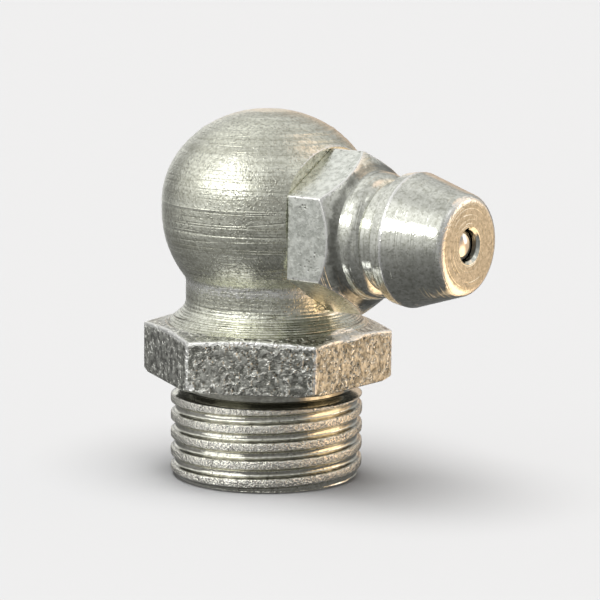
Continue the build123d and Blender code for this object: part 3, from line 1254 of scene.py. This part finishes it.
        # Painted shade in the collar, the groove behind the head and the bore; the face is darkened a little.
        collar = np.clip((3.75 - radius) / 0.3, 0, 1) * (along > self.hex_front_x + 0.5) * np.clip(
            (self.collar_front_x + 0.1 - along) / 0.3, 0, 1)
        face = (along > self.face_x - 0.03) & (radius > self.orifice_r + 0.2)
        groove = bell(along - self.neck_front_x - 0.15, 0.25)
        bore = (radius < self.orifice_r + 0.03) & (along < self.orifice_front_x + 0.02)
        bore &= along > self.stub_end_x
        return np.maximum.reduce((collar * 0.6, groove * 0.35, bore * 0.85, face * 0.17))

    def build(self, finishes: Finishes, effects: Effects) -> None:
        """Build and dress the nipple.

        Args:
            finishes: Finishes of the fitting.
            effects: Shared node groups.
        """
        angles = self.hexagon.angles(6, 32)
        piece = Skin.over(spin(self.outline(angles), angles, Axis.NIPPLE)).to_object("nipple_skin")
        angle, radius, along = polar(read_points(piece.data.polygons, "center"), Axis.NIPPLE)
        flat_r = self.hexagon.radius(angle)
        on_flat = (radius > flat_r - 0.05) & (along < self.chamfer_start(flat_r) + 0.01)
        points = read_points(piece.data.vertices, "co")
        dress(piece, Body.FITTING, "nipple", "nipple_zinc",
              [part.make(effects) for part in (finishes.nipple_turned, finishes.nipple_flats)], on_flat,
              edge=self.wear_and_highlight_mask(points), recess=self.painted_shade_mask(points))


@dataclass
class CheckValve:
    """Check ball and its spring inside the nipple, in millimetres."""

    ball_r: float = 1.25
    ball_x: float = 10.7582
    travel: float = 0.8
    spring_back_x: float = 1.91
    spring_front_x: float = 9.8445
    spring_mean_r: float = 1.1
    wire_r: float = 0.15
    turns: float = 6.5
    closed_turns: float = 0.75
    closed_climb: float = 0.04

    def build(self, finishes: Finishes, effects: Effects) -> None:
        """Build and dress the ball and the spring."""
        self.ball(finishes.ball.make(effects))
        self.spring(finishes.wire.make(effects))

    def ball(self, finish: Material) -> None:
        """Check ball: a sphere worked out from its polar angle along the nipple and its angle round it.

        Args:
            finish: Its material.
        """
        tilt = np.linspace(0, math.pi, 34)[1:-1, None] + np.zeros(64)
        angles = np.linspace(0, 2 * math.pi, 64, endpoint=False)
        outline = np.stack((self.ball_r * np.sin(tilt), self.ball_x - self.ball_r * np.cos(tilt)), -1)
        poles = [(self.ball_x + side * self.ball_r, 0, NIPPLE_AXIS_Z) for side in (-1, 1)]
        piece = Skin.over(spin(outline, angles, Axis.NIPPLE), poles).to_object("check_ball_skin")
        dress(piece, Body.BALL, "check_ball", "ball_steel", [finish])

    def spring(self, finish: Material) -> None:
        """Check spring: a round wire along a helix whose end coils close up, cut flat at both ends.

        The helix climbs evenly, but hardly at all over its end coils. The wire's ring lies in the plane of
        the radius and the axis, and points past either end are moved onto the end plane.

        Args:
            finish: Its material.
        """
        t = np.linspace(0, 1, 320)[:, None]
        ring = np.linspace(0, 2 * math.pi, 12, endpoint=False)[None]
        turn = 2 * math.pi * self.turns * t
        length = self.spring_front_x - self.spring_back_x
        closed = self.closed_turns / self.turns
        open_share = np.clip((t - closed) / (1 - 2 * closed), 0, 1)
        climb = self.closed_climb * t + (1 - self.closed_climb) * open_share
        along = self.spring_back_x + climb * length - self.wire_r * np.sin(ring)
        along = np.clip(along, self.spring_back_x, self.spring_front_x)
        radius = self.spring_mean_r + self.wire_r * np.cos(ring)
        grid = np.stack((along, radius * np.cos(turn), radius * np.sin(turn) + NIPPLE_AXIS_Z), -1)
        piece = Skin.over(grid, (grid[0].mean(0), grid[-1].mean(0))).to_object("check_spring_skin")
        dress(piece, Body.FITTING, "check_spring", "spring_steel", [finish])
        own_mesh(piece)


# Studio


@dataclass(frozen=True)
class SoftSource:
    """Soft patch of light in the surroundings. Its bearing is in degrees, 0 on the camera's side, + right."""

    bearing: float
    elevation: float
    core: float
    reach: float
    strength: float
    tint: Colour = (1.0, 1.0, 0.99)


@dataclass(frozen=True)
class Lamp:
    """Small soft lamp that leaves a highlight, by a bearing like that of a soft source; lengths in metres."""

    bearing: float
    elevation: float
    width: float
    height: float
    radiance: float
    distance: float = 0.22


@dataclass(frozen=True)
class SoftSun:
    """Wide soft sun that lays the shadow on the floor and leaves nothing in the metal."""

    bearing: float
    elevation: float
    width: float
    strength: float


@dataclass
class Studio:
    """Pale floor, soft surroundings, small lamps, a soft sun and the camera of the photograph."""

    view_azimuth: float = math.radians(37.51)
    view_elevation: float = 0.1659
    roll: float = 0.0103
    distance: float = 130.0
    target: tuple[float, float, float] = (1.646, 0.0, 8.930)
    lens: float = 154.49
    background: float = 0.863
    floor_half_width: float = 6.0
    floor_albedo: float = 0.42
    floor_light: float = 3.91
    middle: tuple[float, float, float] = (0.0, 0.0, 9.0)
    below: float = 0.12
    level: float = 0.28
    above: float = 0.66
    sky: tuple[SoftSource, ...] = (
        SoftSource(-46, 32, 14, 46, 0.46),
        SoftSource(-90, 24, 10, 44, 0.38),
        SoftSource(-60, -30, 10, 45, 0.10),
        SoftSource(2, -4, 6, 17, 0.16),
        SoftSource(14, 42, 6, 18, -0.16),
        SoftSource(108, 34, 8, 24, 0.40, (1.0, 0.74, 0.50)),
        SoftSource(110, 60, 6, 15, 0.50, (1.0, 0.62, 0.40)),
        SoftSource(48, 51, 3, 9, 0.50),
        SoftSource(-150, 54, 10, 28, 0.26),
        SoftSource(-166, 8, 8, 22, 0.50),
        SoftSource(172, 8, 7, 18, 0.34, (1.0, 0.62, 0.30)),
        SoftSource(112, 12, 6, 18, 0.40, (1.0, 0.88, 0.70)),
        SoftSource(104, -4, 12, 32, 0.52, (1.0, 0.60, 0.26)),
        SoftSource(72, -14, 14, 32, 0.45, (1.0, 0.62, 0.30)),
        SoftSource(75, -24, 12, 25, 1.35, (1.0, 0.73, 0.46)),
    )
    lamps: tuple[Lamp, ...] = (
        Lamp(-42, 29, 0.095, 0.075, 3.0), Lamp(-74, 27, 0.045, 0.06, 1.9), Lamp(-56, 50, 0.05, 0.04, 2.6),
        Lamp(98, 10, 0.08, 0.11, 0.9), Lamp(-44, -41, 0.008, 0.0035, 1.1, distance=0.0122))
    sun: SoftSun = SoftSun(0, 82, 52, 10.0)

    def bearing(self, degrees: float, elevation: float) -> Array:
        """Direction from the object at a bearing from the camera and an elevation, both in degrees."""
        a, e = math.radians(degrees), math.radians(elevation)
        return self.turned() @ np.array((math.sin(a) * math.cos(e), -math.cos(a) * math.cos(e), math.sin(e)))

    def turned(self) -> Array:
        """Turn about the upright from the photograph's directions to the model's."""
        c, s = math.cos(self.view_azimuth), math.sin(self.view_azimuth)
        return np.array(((c, -s, 0), (s, c, 0), (0, 0, 1)))

    @staticmethod
    def stand(name: str, data: Any, axes: Array, place: Array) -> Piece:
        """Put a camera or light in the scene.

        Args:
            name: Name of the object.
            data: The camera or light.
            axes: Its three axes, as columns.
            place: Its place, in metres.

        Returns:
            The object.
        """
        made = bpy.data.objects.new(name, data)
        bpy.context.scene.collection.objects.link(made)
        matrix = np.eye(4)
        matrix[:3, :3], matrix[:3, 3] = axes, place
        made.matrix_world = Matrix(matrix.tolist())
        return made

    def place_camera(self) -> None:
        """Camera at the photograph's viewing angle."""
        data = bpy.data.cameras.new("camera")
        data.lens, data.sensor_width, data.clip_start, data.clip_end = self.lens, 36.0, 0.01, 50.0
        e, c, s = self.view_elevation, math.cos(self.roll), math.sin(self.roll)
        right, up = np.array((1.0, 0, 0)), np.array((0, math.sin(e), math.cos(e)))
        ahead = np.array((0, math.cos(e), -math.sin(e)))
        axes = self.turned() @ np.stack((c * right + s * up, c * up - s * right, -ahead), -1)
        place = self.turned() @ (np.array(self.target) - self.distance * ahead) * MM
        bpy.context.scene.camera = self.stand("camera", data, axes, place)

    def hang(self, data: bpy.types.Light, bearing: float, elevation: float, distance: float) -> Piece:
        """Hang a light round the object's middle, turned towards it.

        Args:
            data: The light.
            bearing: Bearing in degrees.
            elevation: Elevation in degrees.
            distance: Distance from the middle, in metres.

        Returns:
            The light's object.
        """
        aim = self.bearing(bearing, elevation)
        side = np.cross((0, 0, 1), aim)
        side /= np.linalg.norm(side)
        axes = np.stack((side, np.cross(aim, side), aim), -1)
        return self.stand(data.name, data, axes, np.array(self.middle) * MM + aim * distance)

    def hang_lamps(self) -> None:
        """Small area lamps, and the sun that only the floor sees."""
        for number, lamp in enumerate(self.lamps):
            data = bpy.data.lights.new(f"lamp {number}", "AREA")
            data.shape, data.size, data.size_y = "ELLIPSE", lamp.width, lamp.height
            data.energy = lamp.radiance * math.pi * lamp.width * lamp.height * math.pi / 4
            light = self.hang(data, lamp.bearing, lamp.elevation, lamp.distance)
            light.visible_camera, light.visible_diffuse = False, False
        data = bpy.data.lights.new("soft sun", "SUN")
        data.energy, data.angle = self.sun.strength, math.radians(self.sun.width)
        light = self.hang(data, self.sun.bearing, self.sun.elevation, 0.25)
        light.visible_camera, light.visible_glossy = False, False

    def surroundings(self) -> Tree:
        """Light that comes from a direction: a level by elevation, and the soft sources.

        Returns:
            The node group, from a direction to a colour.
        """
        group = Group("studio surroundings", ["Vector"], ["Color"])
        toward = group.vector("NORMALIZE", *group.given)
        rise = group.split(toward)[2]
        level = rise.span(-0.75, 0.05, self.below, self.level)
        level = level + rise.span(0.0, 0.8, 0.0, self.above - self.level)
        total = group.scaled((1.0, 1.0, 1.0), level)
        for source in self.sky:
            aim = tuple(self.bearing(source.bearing, source.elevation))
            cosine = group.vector("DOT_PRODUCT", toward, aim, out=1)
            edge, core = (math.cos(math.radians(angle)) for angle in (source.reach, source.core))
            total = group.vector("ADD", total, group.scaled(
                source.tint, cosine.span(edge, core, 0, source.strength)))
        return group.give(Color=group.vector("MAXIMUM", total, (0.0, 0.0, 0.0)))

    def light_surroundings(self, light: Tree) -> None:
        """World: the surroundings' light, with the plain background for the camera.

        Args:
            light: Node group of the surroundings' light.
        """
        world = bpy.data.worlds.new("studio")
        bpy.context.scene.world = world
        world.use_nodes = True
        graph = Graph(world.node_tree)
        around = graph.group(light, Vector=graph.add("ShaderNodeTexCoord", out="Generated"))
        colour = graph.blend(graph.add("ShaderNodeLightPath"), around["Color"], (self.background,) * 3)
        shine = graph.add("ShaderNodeBackground", {"Color": colour, "Strength": 1.0})
        graph.add("ShaderNodeOutputWorld", {"Surface": shine})

    def lay_floor(self, light: Tree) -> None:
        """Pale floor that keeps the shadow, and shows in the metal with the light of its direction.

        Args:
            light: Node group of the surroundings' light.
        """
        grid = np.linspace(-1, 1, 3) * self.floor_half_width / MM
        x, y = np.meshgrid(grid, grid, indexing="ij")
        points = np.stack((x, y, np.zeros_like(x)), -1).reshape(-1, 3)
        index = np.arange(9).reshape(3, 3)
        quads = np.stack((index[:-1, :-1], index[1:, :-1], index[1:, 1:], index[:-1, 1:]), -1).reshape(-1, 4)
        floor = Skin(points, quads, np.empty((0, 3), int)).to_object("floor")
        material = bpy.data.materials.new("pale floor")
        material.use_nodes = True
        graph = Graph(material.node_tree)
        path = graph.add("ShaderNodeLightPath")
        pale = graph.add("ShaderNodeBsdfDiffuse", {"Color": graph.blend(
            path, (self.floor_albedo,) * 3, (self.background / self.floor_light,) * 3)})
        place = graph.add("ShaderNodeNewGeometry", out="Position")
        middle = tuple(value * MM for value in self.middle)
        around = graph.group(light, Vector=graph.vector("SUBTRACT", place, middle))
        shown = graph.add("ShaderNodeEmission", {"Color": around["Color"], "Strength": 1.0})
        mirrored = path.other("Is Glossy Ray").maths("MAXIMUM", path.other("Is Transmission Ray"))
        surface = graph.add("ShaderNodeMixShader", {0: mirrored, 1: pale, 2: shown})
        graph.add("ShaderNodeOutputMaterial", {"Surface": surface})
        floor.data.materials.append(material)

    def set_up(self) -> None:
        """Place the camera, the lights and the floor."""
        bpy.context.scene.view_settings.view_transform = "Standard"
        self.place_camera()
        light = self.surroundings()
        self.light_surroundings(light)
        self.hang_lamps()
        self.lay_floor(light)


def main() -> None:
    """Build the fitting, its studio and its camera."""
    logging.basicConfig(level=logging.INFO, format="%(name)s: %(message)s")
    Studio().set_up()
    effects, finishes = Effects(), Finishes()
    for assembly in (ElbowBody(), Nipple(), CheckValve()):
        assembly.build(finishes, effects)


if __name__ == "__main__":
    main()
